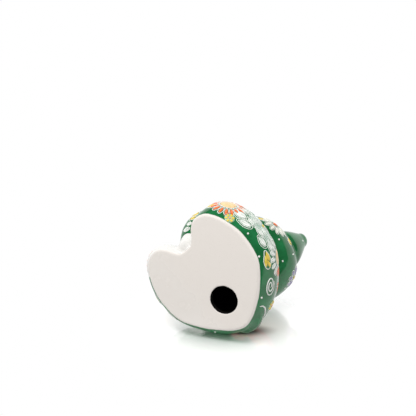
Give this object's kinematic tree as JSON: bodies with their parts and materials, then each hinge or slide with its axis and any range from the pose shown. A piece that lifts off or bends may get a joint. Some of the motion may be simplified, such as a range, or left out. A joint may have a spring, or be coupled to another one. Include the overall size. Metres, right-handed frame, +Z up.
{
  "type": "cat figurine",
  "caption": "Seated glazed porcelain cat figurine, hollow-cast, with a raised right forepaw, a collar with a bell, and a round drain hole in the flat base.",
  "frame": {"origin": "on the flat base, in the middle plane between the left and right sides, 16.3 mm behind the notch between the feet", "axes": "+Z up from the base to the ears, -Y the way the cat faces, +X the cat's left side"},
  "size_m": [0.0774, 0.0725, 0.0949],
  "materials": {
    "green_glaze": "glossy green overglaze with raised enamel flowers, white at the face, paws and feet, bare cream base",
    "red_glaze": "glossy red enamel",
    "gold_glaze": "glossy gold lustre"
  },
  "bodies": {
    "root": {"body": "green_glaze", "head": "green_glaze", "ear_left": "green_glaze", "ear_right": "green_glaze", "raised_arm": "green_glaze", "resting_arm": "green_glaze", "tail": "green_glaze", "collar": "red_glaze", "bell": "gold_glaze"}
  },
  "joints": []
}
